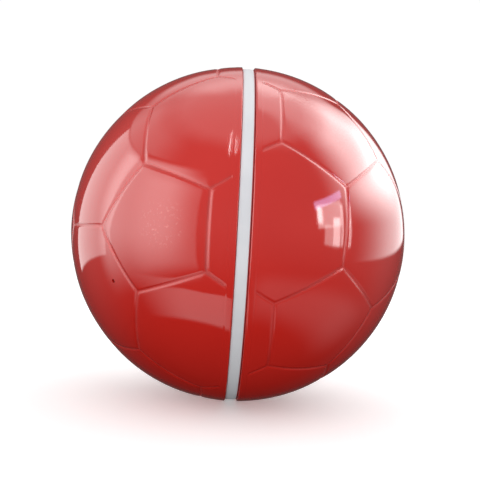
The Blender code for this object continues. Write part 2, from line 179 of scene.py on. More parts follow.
# The ring's pad for the swivel bracket, its lugs for the shell screws, and its way for the bush
PAD_HALF_WIDTH = 0.0074
PAD_HALF_LENGTH = 0.0240
PAD_BOTTOM = 0.0960
PAD_TOP = 0.0998
PAD_HOLE_TOP = 0.1002
BRACKET_SCREW_Y = (-0.0190, 0.0190)
BRACKET_SHANK_R = 0.0014
LUG_FACE_X = SPIGOT_END_X - GAP
LUG_THICKNESS = 0.0027
LUG_HALF_WIDTH = 0.0070
LUG_REACH = 0.0050  # from the screw's axis towards the ball's axis
BUSH_TUBE_HALF_WIDTH = 0.0030
BUSH_TUBE_HALF_LENGTH = 0.0052
BUSH_END_STEPS = 12


def round_x(angle, radius, x):
    """A point at an angle round X, from the top towards the front."""
    return Vector((x, -radius * sin(angle), radius * cos(angle)))


def smooth(value, low, high):
    """0 below low and 1 above high, easing between them."""
    t = min(max((value - low) / (high - low), 0), 1)
    return t * t * (3 - 2 * t)


def mirrored(outline):
    """The points of an outline at -X, in reverse order."""
    return [(-x, radius) for x, radius in reversed(outline)]


def screw_angles():
    """Angles round X of the shell screws: evenly round, with the top left free for the swivel."""
    return [2 * pi * (number + 0.5) / SHELL_SCREWS for number in range(SHELL_SCREWS)]


def new_object(name, data):
    obj = bpy.data.objects.new(name, data)
    bpy.context.scene.collection.objects.link(obj)
    return obj


def mesh_object(name, bm):
    bm.normal_update()
    mesh = bpy.data.meshes.new(name)
    bm.to_mesh(mesh)
    bm.free()
    mesh.shade_smooth()
    mesh.set_sharp_from_angle(angle=SHARP_ANGLE)
    return new_object(name, mesh)


def combine(obj, tool, operation):
    """Join or cut with a tool, and leave only the result."""
    modifier = obj.modifiers.new(tool.name, "BOOLEAN")
    modifier.operation = operation
    modifier.solver = "EXACT"
    modifier.object = tool
    bpy.context.view_layer.update()
    mesh = bpy.data.meshes.new_from_object(obj.evaluated_get(bpy.context.evaluated_depsgraph_get()))
    obj.modifiers.clear()
    obj.data = mesh
    mesh.shade_smooth()
    mesh.set_sharp_from_angle(angle=SHARP_ANGLE)
    bpy.data.objects.remove(tool)


def rods(name, ends, radius, segments, chamfer=0.0):
    """Closed cylinders between pairs of points, the first end of each chamfered."""
    bm = bmesh.new()
    for start, end in ends:
        along = (end - start).normalized()
        turn = along.to_track_quat("Z", "Y")
        rings = []
        for centre, r in ((start, radius - chamfer), (start + along * chamfer, radius), (end, radius)):
            ring = []
            for step in range(segments):
                angle = 2 * pi * step / segments
                ring.append(bm.verts.new(centre + turn @ Vector((r * cos(angle), r * sin(angle), 0))))
            rings.append(ring)
        for low, high in zip(rings, rings[1:]):
            for k in range(segments):
                following = (k + 1) % segments
                bm.faces.new((low[k], low[following], high[following], high[k]))
        bm.faces.new(reversed(rings[0]))
        bm.faces.new(rings[-1])
    for face in bm.faces:
        face.material_index = INSIDE
    bmesh.ops.remove_doubles(bm, verts=bm.verts[:], dist=SAME_POINT)
    bmesh.ops.recalc_face_normals(bm, faces=bm.faces[:])
    return mesh_object(name, bm)


def turned_about_x(name, outline, opening=0.0):
    """A closed outline of (x, radius) turned about X, with an opening of twice an angle at the top."""
    bm = bmesh.new()
    rows = []
    for step in range(TURNED_STEPS + 1 if opening else TURNED_STEPS):
        angle = opening + (2 * pi - 2 * opening) * step / TURNED_STEPS
        rows.append([bm.verts.new(round_x(angle, radius, x)) for x, radius in outline])
    for first, second in zip(rows, rows[1:] if opening else rows[1:] + rows[:1]):
        for k in range(len(outline)):
            following = (k + 1) % len(outline)
            bm.faces.new((first[k], first[following], second[following], second[k]))
    if opening:
        bm.faces.new(rows[0])
        bm.faces.new(reversed(rows[-1]))
    bmesh.ops.recalc_face_normals(bm, faces=bm.faces[:])
    return mesh_object(name, bm)


# Shells


def panel_outlines():
    """Corner directions of the 12 pentagons and 20 hexagons, with a pentagon facing +X."""
    bm = bmesh.new()
    bmesh.ops.create_icosphere(bm, subdivisions=1, radius=1)
    bmesh.ops.bevel(
        bm,
        geom=bm.verts[:],
        offset=VERTEX_CUT,
        offset_type="PERCENT",
        segments=1,
        profile=0.5,
        affect="VERTICES",
    )
    outlines = [[Vector((v.co.z, v.co.x, v.co.y)).normalized() for v in face.verts] for face in bm.faces]
    bm.free()
    return outlines


def soft_least(distances, sharpness):
    """The least of several distances, rounded off where two are alike."""
    if min(distances) < ON_BORDER:
        return 0
    return sum(d**-sharpness for d in distances) ** (-1 / sharpness)


def insets_of(direction, walls):
    """Distances along the ball from a direction to each border of its panel."""
    return [asin(max(direction.dot(wall), 0)) * BALL_R for wall in walls]


def panel_form(direction, walls, centre_inset):
    """How much of a groove's depth and of a dome's drop there is in a direction, each from 0 to 1."""
    insets = insets_of(direction, walls)
    groove = (1 + cos(pi * min(soft_least(insets, GROOVE_CORNERS) / GROOVE_HALF_WIDTH, 1))) / 2
    from_centre = 1 - min(soft_least(insets, PILLOW_CORNERS) / centre_inset, 1)
    return groove, from_centre**2


def panel_rings(corners, centre, apothem):
    """Directions round a panel, from its border to its middle."""
    inner_width = apothem - BORDER_INSETS[-1]
    inner_steps = round(inner_width / RING_STEP)
    insets = list(BORDER_INSETS)
    insets += [BORDER_INSETS[-1] + inner_width * step / inner_steps for step in range(1, inner_steps)]
    for inset in insets:
        ring_corners = [corner.lerp(centre, inset / apothem) for corner in corners]
        ring = []
        for corner, following in zip(ring_corners, ring_corners[1:] + ring_corners[:1]):
            for step in range(EDGE_STEPS):
                ring.append(corner.lerp(following, step / EDGE_STEPS).normalized())
        yield ring
    yield [centre]


def add_panel(bm, corners):
    """Add a panel's faces to a mesh, with what there is of groove and dome kept at each vertex."""
    groove_layer = bm.verts.layers.float["groove"]
    dome_layer = bm.verts.layers.float["dome"]
    centre = sum(corners, Vector()).normalized()
    walls = []
    for corner, following in zip(corners, corners[1:] + corners[:1]):
        wall = corner.cross(following).normalized()
        walls.append(wall if wall.dot(centre) > 0 else -wall)
    apothem = min(asin(centre.dot(wall)) for wall in walls) * BALL_R
    centre_inset = soft_least(insets_of(centre, walls), PILLOW_CORNERS)
    rings = []
    for directions in panel_rings(corners, centre, apothem):
        ring = []
        for direction in directions:
            vert = bm.verts.new(direction * BALL_R)
            vert[groove_layer], vert[dome_layer] = panel_form(direction, walls, centre_inset)
            ring.append(vert)
        rings.append(ring)
    length = len(rings[0])
    for outer, inner in zip(rings, rings[1:]):
        for step in range(length):
            following = (step + 1) % length
            if len(inner) == 1:
                bm.faces.new((outer[step], outer[following], inner[0]))
            else:
                bm.faces.new((outer[step], outer[following], inner[following], inner[step]))


def panelled_half(rim_x, edge_round):
    """The outside of a half at +X, as far as its rim's round edge."""
    bm = bmesh.new()
    bm.verts.layers.float.new("groove")
    bm.verts.layers.float.new("dome")
    for corners in panel_outlines():
        if sum(corners, Vector()).normalized().x * BALL_R >= -PANEL_REACH:
            add_panel(bm, corners)
    bmesh.ops.remove_doubles(bm, verts=bm.verts[:], dist=SEAM_MERGE)
    loops = [rim_x + edge_round + step * RIM_LOOP_STEP for step in range(RIM_LOOPS)]
    loops += [rim_x + COLLAR + COLLAR_STEP * step / COLLAR_LOOPS for step in range(-1, COLLAR_LOOPS + 2)]
    for x in loops:
        bmesh.ops.bisect_plane(
            bm,
            geom=bm.verts[:] + bm.edges[:] + bm.faces[:],
            plane_co=(x, 0, 0),
            plane_no=(1, 0, 0),
            clear_inner=x == loops[0],
        )
    groove_layer = bm.verts.layers.float["groove"]
    dome_layer = bm.verts.layers.float["dome"]
    for vert in bm.verts:
        direction = vert.co.normalized()
        past_strip = direction.x * BALL_R - rim_x - COLLAR
        vert[groove_layer] *= smooth(past_strip, 0, GROOVE_FADE)
        dome_drop = PILLOW * vert[dome_layer] * smooth(past_strip, 0, DOME_FADE)
        drop = GROOVE_DEPTH * vert[groove_layer] + dome_drop
        rise = COLLAR_RISE * (1 - smooth(past_strip, 0, COLLAR_STEP))
        vert.co = direction * (BALL_R - drop + rise)
    bmesh.ops.recalc_face_normals(bm, faces=bm.faces[:])
    return bm


def rim_radius(rim_x, edge_round):
    """Radius of the plain strip where the rim's round edge begins."""
    return sqrt((BALL_R + COLLAR_RISE) ** 2 - (rim_x + edge_round) ** 2)


def inside_outline(rim_x, edge_round):
    """The shell's section from the rim's outer edge inwards, as (x, radius)."""
    outer_r = rim_radius(rim_x, edge_round)
    points = []
    for step in range(1, OUTER_EDGE_STEPS + 1):
        angle = pi / 2 * step / OUTER_EDGE_STEPS
        points.append((rim_x + edge_round * (1 - sin(angle)), outer_r - edge_round * (1 - cos(angle))))
    for step in range(INNER_EDGE_STEPS + 1):
        angle = pi / 2 * step / INNER_EDGE_STEPS
        radius = LAND_R + INNER_EDGE_ROUND * (1 - sin(angle))
        points.append((rim_x + INNER_EDGE_ROUND * (1 - cos(angle)), radius))
    inner_r = BALL_R - WALL
    points.append((LAND_END_X, LAND_R))
    points.append((LAND_END_X + LAND_STEP, inner_r * cos(asin((LAND_END_X + LAND_STEP) / inner_r))))
    start = asin(LAND_END_X / inner_r)
    for step in range(1, DOME_STEPS):
        angle = start + (pi / 2 - start) * step / DOME_STEPS
        points.append((inner_r * sin(angle), inner_r * cos(angle)))
    return points


def half_shell(rim_x, edge_round):
    """A whole half at +X: its panels, and from the rim a turned inside that a fan of faces closes."""
    bm = panelled_half(rim_x, edge_round)
    rim_verts = list({vert for edge in bm.edges if edge.is_boundary for vert in edge.verts})
    bmesh.ops.remove_doubles(bm, verts=rim_verts, dist=RIM_MERGE)
    ring = [edge for edge in bm.edges if edge.is_boundary]
    outer_r = rim_radius(rim_x, edge_round)
    for vert in {vert for edge in ring for vert in edge.verts}:
        away = Vector((0, vert.co.y, vert.co.z)).normalized()
        vert.co = away * outer_r + Vector((rim_x + edge_round, 0, 0))
    for x, radius in inside_outline(rim_x, edge_round):
        grown = bmesh.ops.extrude_edge_only(bm, edges=ring)["geom"]
        for face in (item for item in grown if isinstance(item, bmesh.types.BMFace)):
            face.material_index = OUTSIDE if radius > LAND_R + INNER_EDGE_ROUND / 2 else INSIDE
        ring = [item for item in grown if isinstance(item, bmesh.types.BMEdge)]
        for vert in (item for item in grown if isinstance(item, bmesh.types.BMVert)):
            away = Vector((0, vert.co.y, vert.co.z)).normalized()
            vert.co = away * radius + Vector((x, 0, 0))
    cap = bmesh.ops.contextual_create(bm, geom=ring)["faces"]
    for face in bmesh.ops.poke(bm, faces=cap)["faces"]:
        face.material_index = INSIDE
    bmesh.ops.recalc_face_normals(bm, faces=bm.faces[:])
    return bm


def add_bosses(shell):
    """Screw bosses with pilot holes inside the left shell, and its breather hole."""
    bosses, pilots = [], []
    for angle in screw_angles():
        face = round_x(angle, SCREW_CIRCLE_R, -BOSS_FACE_X)
        bosses.append((face, round_x(angle, SCREW_CIRCLE_R, -BALL_R / 2)))
        pilots.append((face + Vector((BOSS_R, 0, 0)), face - Vector((PILOT_LENGTH, 0, 0))))
    tool = rods("bosses", bosses, BOSS_R, BOSS_SEGMENTS, BOSS_CHAMFER)
    middle_of_wall = BALL_R - WALL / 2
    for vert in tool.data.vertices:  # each boss ends inside the curved wall
        if vert.co.x < -BOSS_FACE_X - BOSS_R:
            vert.co.x = -sqrt(middle_of_wall**2 - vert.co.y**2 - vert.co.z**2)
    combine(shell, tool, "UNION")
    combine(shell, rods("pilots", pilots, PILOT_R, HOLE_SEGMENTS), "DIFFERENCE")
    out = round_x(VENT_ROUND_X, sin(VENT_FROM_POLE), 0) - Vector((cos(VENT_FROM_POLE), 0, 0))
    vent_ends = [(out * (BALL_R - 2 * WALL), out * (BALL_R + WALL))]
    combine(shell, rods("vent", vent_ends, VENT_R, HOLE_SEGMENTS), "DIFFERENCE")


def left_shell_skin():
    bm = half_shell(LEFT_RIM_X, LEFT_EDGE_ROUND)
    bmesh.ops.transform(bm, matrix=Matrix.Rotation(pi, 4, "Z"), verts=bm.verts[:])
    shell = mesh_object("left_shell_skin", bm)
    add_bosses(shell)
    return shell


def right_shell_skin():
    bm = half_shell(RIGHT_RIM_X, RIGHT_EDGE_ROUND)
    bmesh.ops.transform(bm, matrix=Matrix.Rotation(RIGHT_TWIST, 4, "X"), verts=bm.verts[:])
    return mesh_object("right_shell_skin", bm)


left_shell = left_shell_skin()
right_shell = right_shell_skin()
for piece, node, body in ((left_shell, "left_shell", "ball"), (right_shell, "right_shell", "lid")):
    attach(piece, body)
    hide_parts(node)


# Band


def centre_band():
    """The band's strip, open at the top where the bush sits."""
    half = []
    for step in range(BAND_EDGE_STEPS + 1):
        angle = pi / 2 * step / BAND_EDGE_STEPS
        x = BAND_HALF_WIDTH - BAND_EDGE_ROUND * (1 - cos(angle))
        half.append((x, BAND_R - BAND_CROWN - BAND_EDGE_ROUND * (1 - sin(angle))))
    half.append((BAND_FLAT_HALF_WIDTH, BAND_R))
    head_bottom = BAND_R - BAND_HEAD
    left_underside = [
        (-BAND_HALF_WIDTH, head_bottom),
        (-BAND_STEM_HALF_WIDTH, head_bottom),
        (-BAND_STEM_HALF_WIDTH, head_bottom - GAP - BAND_STEM),
    ]
    outline = half + mirrored(half) + left_underside + mirrored(left_underside)
    return turned_about_x("centre_band_strip", outline, BAND_OPENING_HALF_LENGTH / BAND_R)


band = centre_band()
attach(band, "ball")
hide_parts("centre_band")


# Joining ring and seals


def eased(outline, ease):
    """A closed outline with each corner rounded off, by less where its sides are short."""
    points = []
    for before, corner, after in zip(outline[-1:] + outline[:-1], outline, outline[1:] + outline[:1]):
        before, corner, after = Vector(before), Vector(corner), Vector(after)
        to_before, to_after = before - corner, after - corner
        reach = min(ease, EASE_SHARE * to_before.length, EASE_SHARE * to_after.length)
        start = corner + to_before.normalized() * reach
        end = corner + to_after.normalized() * reach
        for step in range(EASE_STEPS + 1):
            t = step / EASE_STEPS
            points.append(start * (1 - t) ** 2 + corner * 2 * t * (1 - t) + end * t**2)
    return points


def add_box(bm, low, high, turn=0.0):
    """Add a box with eased edges to a mesh, turned about X."""
    low, high = Vector(low), Vector(high)
    verts = bmesh.ops.create_cube(bm, size=1)["verts"]
    for vert in verts:
        vert.co = (low + high) / 2 + vert.co * (high - low)
    edges = list({edge for vert in verts for edge in vert.link_edges})
    bmesh.ops.rotate(bm, verts=verts, matrix=Matrix.Rotation(turn, 3, "X"))
    bmesh.ops.bevel(bm, geom=edges, offset=RING_BOX_EASE, segments=2, profile=0.5, affect="EDGES")


def ring_half_section(lip_width):
    """The ring's section on one side, from the band's channel to the inner edge."""
    lip_x = BAND_HALF_WIDTH + LIP_GAP
    groove_low_x, groove_high_x = SEAL_X - SEAL_GROOVE_HALF_WIDTH, SEAL_X + SEAL_GROOVE_HALF_WIDTH
    return [
        (CHANNEL_HALF_WIDTH, CHANNEL_R),
        (CHANNEL_HALF_WIDTH, RIB_R),
        (lip_x, RIB_R),
        (lip_x, LIP_R),
        (lip_x + lip_width, LIP_R),
        (lip_x + lip_width, SPIGOT_R),
        (groove_low_x, SPIGOT_R),
        (groove_low_x, SEAL_GROOVE_R),
        (groove_high_x, SEAL_GROOVE_R),
        (groove_high_x, SPIGOT_R),
        (SPIGOT_END_X - RING_CHAMFER, SPIGOT_R),
        (SPIGOT_END_X, SPIGOT_R - RING_CHAMFER),
        (SPIGOT_END_X, RING_INNER_R),
    ]


def pad_and_lugs():
    """The pad for the swivel bracket and a lug for each shell screw."""
    bm = bmesh.new()
    pad_low = (-PAD_HALF_WIDTH, -PAD_HALF_LENGTH, PAD_BOTTOM)
    add_box(bm, pad_low, (PAD_HALF_WIDTH, PAD_HALF_LENGTH, PAD_TOP))
    lug_low = (-LUG_FACE_X, -LUG_HALF_WIDTH, SCREW_CIRCLE_R - LUG_REACH)
    lug_high = (-LUG_FACE_X + LUG_THICKNESS, LUG_HALF_WIDTH, RING_INNER_R + WALL / 2)
    for angle in screw_angles():
        add_box(bm, lug_low, lug_high, angle)
    return mesh_object("pad_and_lugs", bm)


def cord_way():
    """A cutter with round ends, for the way that the bush's tube takes through the ring."""
    half_width = BUSH_TUBE_HALF_WIDTH + GAP
    middle = BUSH_TUBE_HALF_LENGTH - BUSH_TUBE_HALF_WIDTH
    bm = bmesh.new()
    corners = []
    for side in (1, -1):
        for step in range(BUSH_END_STEPS + 1):
            angle = pi * step / BUSH_END_STEPS
            x, y = side * half_width * cos(angle), side * (middle + half_width * sin(angle))
            corners.append(bm.verts.new((x, y, BUSH_BOTTOM_Z - WALL)))
    raised = bmesh.ops.extrude_face_region(bm, geom=[bm.faces.new(corners)])["geom"]
    for vert in (item for item in raised if isinstance(item, bmesh.types.BMVert)):
        vert.co.z = BALL_R
    bmesh.ops.recalc_face_normals(bm, faces=bm.faces[:])
    return mesh_object("cord_way", bm)


def joining_ring():
    """The ring's section turned, with its pad and lugs, and the holes in them."""
    outline = ring_half_section(RIGHT_LIP) + mirrored(ring_half_section(LEFT_LIP))
    ring = turned_about_x("joining_ring_skin", eased(outline, RING_EDGE_EASE))
    combine(ring, pad_and_lugs(), "UNION")
    screw_holes = []
    for angle in screw_angles():
        start = round_x(angle, SCREW_CIRCLE_R, -2 * LUG_FACE_X)
        screw_holes.append((start, start + Vector((2 * LUG_FACE_X, 0, 0))))
    combine(ring, rods("screw_holes", screw_holes, PILOT_R, HOLE_SEGMENTS), "DIFFERENCE")
    pad_holes = [(Vector((0, y, PAD_BOTTOM - WALL)), Vector((0, y, PAD_HOLE_TOP))) for y in BRACKET_SCREW_Y]
    combine(ring, rods("pad_holes", pad_holes, BRACKET_SHANK_R + GAP, HOLE_SEGMENTS), "DIFFERENCE")
    combine(ring, cord_way(), "DIFFERENCE")
    return ring


def seal_wire(name, x):
    """A round rubber ring in its groove."""
    outline = []
    for step in range(SEAL_WIRE_STEPS):
        angle = 2 * pi * step / SEAL_WIRE_STEPS
        outline.append((x + SEAL_WIRE_R * cos(angle), SEAL_R + SEAL_WIRE_R * sin(angle)))
    return turned_about_x(name, outline)


ring = joining_ring()
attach(ring, "ball")
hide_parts("joining_ring")
left_seal = seal_wire("left_seal_wire", -SEAL_X)
right_seal = seal_wire("right_seal_wire", SEAL_X)
for piece, node, body in (
    (left_seal, "left_seal_ring", "ball"),
    (right_seal, "right_seal_ring", "grip_ring"),
):
    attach(piece, body)
    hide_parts(node)


# Finishes


class Nodes:
    """A node tree, with helpers that add nodes and give their outputs."""

    def __init__(self, tree):
        self.tree = tree

    def add(self, kind, **values):
        node = self.tree.nodes.new(kind)
        for name, value in values.items():
            setattr(node, name, value)
        return node

    def feed(self, value, target):
        """Link a source to an input, or set a number there."""
        if isinstance(value, (int, float)):
            target.default_value = value
        else:
            self.tree.links.new(value, target)

    def ramp(self, source, low, high, start=0.0, end=1.0):
        """A value eased from start to end as the source goes from low to high."""
        node = self.add("ShaderNodeMapRange", interpolation_type="SMOOTHSTEP")
        for name, value in (("From Min", low), ("From Max", high), ("To Min", start), ("To Max", end)):
            node.inputs[name].default_value = value
        self.feed(source, node.inputs["Value"])
        return node.outputs["Result"]

    def maths(self, operation, first, second):
        node = self.add("ShaderNodeMath", operation=operation)
        self.feed(first, node.inputs[0])
        self.feed(second, node.inputs[1])
        return node.outputs["Value"]

    def choose(self, factor, first, second):
        """The first value where the factor is 0, and the second where it is 1."""
        node = self.add("ShaderNodeMix")
        for name, value in (("Factor", factor), ("A", first), ("B", second)):
            self.feed(value, node.inputs[name])
        return node.outputs["Result"]


class Finish(Nodes):
    """A material whose shader inputs are set by name, with helpers for its textures."""

    def __init__(self, name, colour, roughness, metallic=0.0):
        self.material = bpy.data.materials.new(name)
        self.material.use_nodes = True
        super().__init__(self.material.node_tree)
        self.shader = self.tree.nodes["Principled BSDF"]
        self.set("Base Color", (*colour, 1))
        self.set("Roughness", roughness)
        self.set("Metallic", metallic)
        self.place = self.add("ShaderNodeTexCoord").outputs["Object"]

    def set(self, socket, value):
        self.shader.inputs[socket].default_value = value

    def drive(self, socket, source):
        self.tree.links.new(source, self.shader.inputs[socket])

    def noise(self, scale, detail=3.0, roughness=0.5, stretch=(1, 1, 1)):
        mapping = self.add("ShaderNodeMapping")
        mapping.inputs["Scale"].default_value = stretch
        self.feed(self.place, mapping.inputs["Vector"])
        node = self.add("ShaderNodeTexNoise")
        node.inputs["Scale"].default_value = scale
        node.inputs["Detail"].default_value = detail
        node.inputs["Roughness"].default_value = roughness
        self.feed(mapping.outputs["Vector"], node.inputs["Vector"])
        return node.outputs["Fac"]

    def near(self, point, full, none):
        """1 up to one distance from a point, easing to 0 at another."""
        node = self.add("ShaderNodeVectorMath", operation="DISTANCE")
        self.feed(self.place, node.inputs[0])
        node.inputs[1].default_value = point
        return self.ramp(node.outputs["Value"], full, none, 1.0, 0.0)

    def mix(self, factor, first, second):
        """A colour between two, each a colour or another mix."""
        node = self.add("ShaderNodeMix", data_type="RGBA")
        colours = [socket for socket in node.inputs if socket.type == "RGBA"]
        self.feed(factor, node.inputs["Factor"])
        for socket, value in zip(colours, (first, second)):
            if isinstance(value, tuple):
                socket.default_value = (*value, 1)
            else:
                self.feed(value, socket)
        return next(socket for socket in node.outputs if socket.type == "RGBA")

    def bump(self, height, strength, distance):
        node = self.add("ShaderNodeBump")
        node.inputs["Strength"].default_value = strength
        node.inputs["Distance"].default_value = distance
        self.feed(height, node.inputs["Height"])
        self.drive("Normal", node.outputs["Normal"])


RED = (0.53, 0.018, 0.013)
SCUFF_PLACE = (-0.0435, -0.0988, 0.0019)
GRAIN_HEIGHT = 0.0001
PEEL_HEIGHT = 0.0003


def shell_finish():
    """Polished plastic with painted shade in its grooves, uneven along them, smudges, fine scratches and one
    scuffed place.
    """
    f = Finish("red_gloss_plastic", RED, 0.1)
    f.set("Specular IOR Level", 0.62)
    f.set("IOR", 1.5)
    cloud = f.ramp(f.noise(9), 0.35, 0.7)
    base = f.mix(cloud, (0.545, 0.020, 0.014), (0.505, 0.016, 0.011))
    groove = f.add("ShaderNodeAttribute", attribute_name="groove").outputs["Fac"]
    # painted shade: the colour in the grooves is darkened towards a deep red, unevenly along them
    groove_shade = f.maths("MULTIPLY", groove, f.ramp(f.noise(60, 4), 0.3, 0.7, 0.05, 0.3))
    base = f.mix(groove_shade, base, (0.22, 0.008, 0.007))
    specks = f.ramp(f.noise(560, 3, 0.6), 0.55, 0.68)
    worn = f.maths("MULTIPLY", f.near(SCUFF_PLACE, 0.004, 0.017), specks)
    f.drive("Base Color", f.mix(f.maths("MULTIPLY", worn, 0.3), base, (0.78, 0.34, 0.30)))
    smudge = f.ramp(f.noise(22, 5, 0.6), 0.42, 0.72, 0.04, 0.10)
    scratch = f.ramp(f.noise(140, 2, stretch=(1, 14, 2)), 0.66, 0.74, 0, 0.08)
    rough = f.maths("ADD", smudge, scratch)
    rough = f.maths("ADD", rough, f.maths("MULTIPLY", groove, 0.3))
    rough = f.maths("ADD", rough, f.maths("MULTIPLY", worn, 0.2))
    f.drive("Roughness", rough)
    f.bump(f.noise(110, 1.0), 0.02, PEEL_HEIGHT)
    return f.material


def inside_finish():
    """The unpolished inside of the shells."""
    f = Finish("red_moulded_inside", RED, 0.42)
    cloud = f.ramp(f.noise(14, 4), 0.3, 0.7)
    f.drive("Base Color", f.mix(cloud, (0.50, 0.018, 0.013), (0.44, 0.014, 0.011)))
    f.drive("Roughness", f.ramp(f.noise(45), 0.3, 0.7, 0.36, 0.5))
    f.bump(f.noise(1500, 2), 0.2, GRAIN_HEIGHT)
    return f.material


def band_finish():
    """Matte white rubber, a little cloudy."""
    f = Finish("white_matte_rubber", (0.66, 0.67, 0.70), 0.62)
    f.set("Specular IOR Level", 0.3)
    cloud = f.ramp(f.noise(30, 4), 0.35, 0.7)
    f.drive("Base Color", f.mix(cloud, (0.68, 0.69, 0.715), (0.62, 0.63, 0.66)))
    f.bump(f.noise(1800, 2), 0.25, GRAIN_HEIGHT)
    return f.material


def grain_finish(name, light, dark, roughness, grain, depth, specular=0.5):
    """Moulded plastic or rubber: cloudy colour, uneven gloss and a fine grain."""
    f = Finish(name, light, roughness)
    f.set("Specular IOR Level", specular)
    f.drive("Base Color", f.mix(f.ramp(f.noise(40, 4), 0.3, 0.7), light, dark))
    f.drive("Roughness", f.ramp(f.noise(70), 0.3, 0.7, roughness - 0.05, roughness + 0.08))
    f.bump(f.noise(grain, 2), depth, GRAIN_HEIGHT)
    return f.material


def steel_finish(name, stretch):
    """Steel with drawn or turned brush marks along the unstretched direction."""
    f = Finish(name, (0.48, 0.48, 0.49), 0.34, 1.0)
    marks = f.noise(900, 2, stretch=stretch)
    f.drive("Base Color", f.mix(f.ramp(marks, 0.3, 0.7), (0.54, 0.54, 0.55), (0.42, 0.42, 0.43)))
    f.drive("Roughness", f.ramp(f.noise(120, 4), 0.3, 0.7, 0.27, 0.42))
    f.bump(marks, 0.15, GRAIN_HEIGHT)
    return f.material


red = shell_finish()
red_inside = inside_finish()
for shell in (left_shell, right_shell):
    while len(shell.data.materials) < 2:
        shell.data.materials.append(red)
    shell.data.materials[OUTSIDE] = red
    shell.data.materials[INSIDE] = red_inside

moulding = grain_finish("red_moulding", (0.47, 0.018, 0.014), (0.40, 0.014, 0.011), 0.45, 1300, 0.25)
nitrile = grain_finish("black_nitrile", (0.030, 0.030, 0.031), (0.018, 0.018, 0.019), 0.55, 2200, 0.15, 0.4)
nylon = grain_finish("natural_nylon", (0.80, 0.76, 0.66), (0.72, 0.67, 0.56), 0.4, 1600, 0.12)
for piece, material in ((band, band_finish()), (ring, moulding), (left_seal, nitrile), (right_seal, nitrile)):
    piece.data.materials.clear()
    piece.data.materials.append(material)

strap_nodes = ["swivel_bracket", "bush_clip", "cord_bush"]
turned_nodes = ["swivel_eye", "lock_nut", "bracket_screw_front", "bracket_screw_back"]
turned_nodes += [f"shell_screw_{number + 1}" for number in range(SHELL_SCREWS)]
for material, nodes in (
    (nylon, ["upper_washer", "lower_washer"]),
    (steel_finish("brushed_strap_steel", (1, 0.06, 0.06)), strap_nodes),
    (steel_finish("turned_steel", (1, 1, 0.08)), turned_nodes),
):
    for node in nodes:
        for slot in frame["nodes"][node].material_slots:
            slot.material = material


# Plain studio

CARD_DISTANCE = 2.0
CARD_COLUMNS = 16
CARD_ROWS = 12
FLOOR_R = 60
FLOOR_SEGMENTS = 128
FLOOR_GLOW = 0.24
BACKDROP_STRENGTH = 1.02


def direction_at(azimuth, elevation):
    """A direction by degrees round Z from the front towards +X, and above the horizon."""
    a, e = radians(azimuth), radians(elevation)
    return Vector((sin(a) * cos(e), -cos(a) * cos(e), sin(e)))


def card_mesh(name, azimuths, elevations, lean, slant):
    """A card's curved sheet, with UVs that run from 0 to 1 across it and up it."""
    bm = bmesh.new()
    uv_layer = bm.loops.layers.uv.new("UVMap")
    grid = []
    for row in range(CARD_ROWS + 1):
        line = []
        for column in range(CARD_COLUMNS + 1):
            u, v = column / CARD_COLUMNS, row / CARD_ROWS
            azimuth = azimuths[0] + (azimuths[1] - azimuths[0]) * u + slant * (v - 0.5)
            elevation = elevations[0] + (elevations[1] - elevations[0]) * v + lean * (u - 0.5)
            line.append((bm.verts.new(direction_at(azimuth, elevation) * CARD_DISTANCE), (u, v)))
        grid.append(line)
    for low, high in zip(grid, grid[1:]):
        for k in range(CARD_COLUMNS):
            corners = (low[k], low[k + 1], high[k + 1], high[k])
            face = bm.faces.new([vert for vert, _ in corners])
            for loop, (_, uv) in zip(face.loops, corners):
                loop[uv_layer].uv = uv
    return mesh_object(name, bm)


def card_light(name, radiance, feather, colour):
    """A glow that fades towards a card's edges and is clear to whatever lies behind."""
    material = bpy.data.materials.new(name)
    material.use_nodes = True
    n = Nodes(material.node_tree)
    n.tree.nodes.clear()
    split = n.add("ShaderNodeSeparateXYZ")
    n.feed(n.add("ShaderNodeTexCoord").outputs["UV"], split.inputs["Vector"])
    left, right, bottom, top = feather
    strength = n.ramp(split.outputs["X"], 0, left, end=radiance)
    for axis, low, high in (("X", 1, 1 - right), ("Y", 0, bottom), ("Y", 1, 1 - top)):
        strength = n.maths("MULTIPLY", strength, n.ramp(split.outputs[axis], low, high))
    emission = n.add("ShaderNodeEmission")
    emission.inputs["Color"].default_value = (*colour, 1)
    n.feed(strength, emission.inputs["Strength"])
    both = n.add("ShaderNodeAddShader")
    n.feed(emission.outputs["Emission"], both.inputs[0])
    n.feed(n.add("ShaderNodeBsdfTransparent").outputs["BSDF"], both.inputs[1])
    n.feed(both.outputs["Shader"], n.add("ShaderNodeOutputMaterial").inputs["Surface"])
    return material


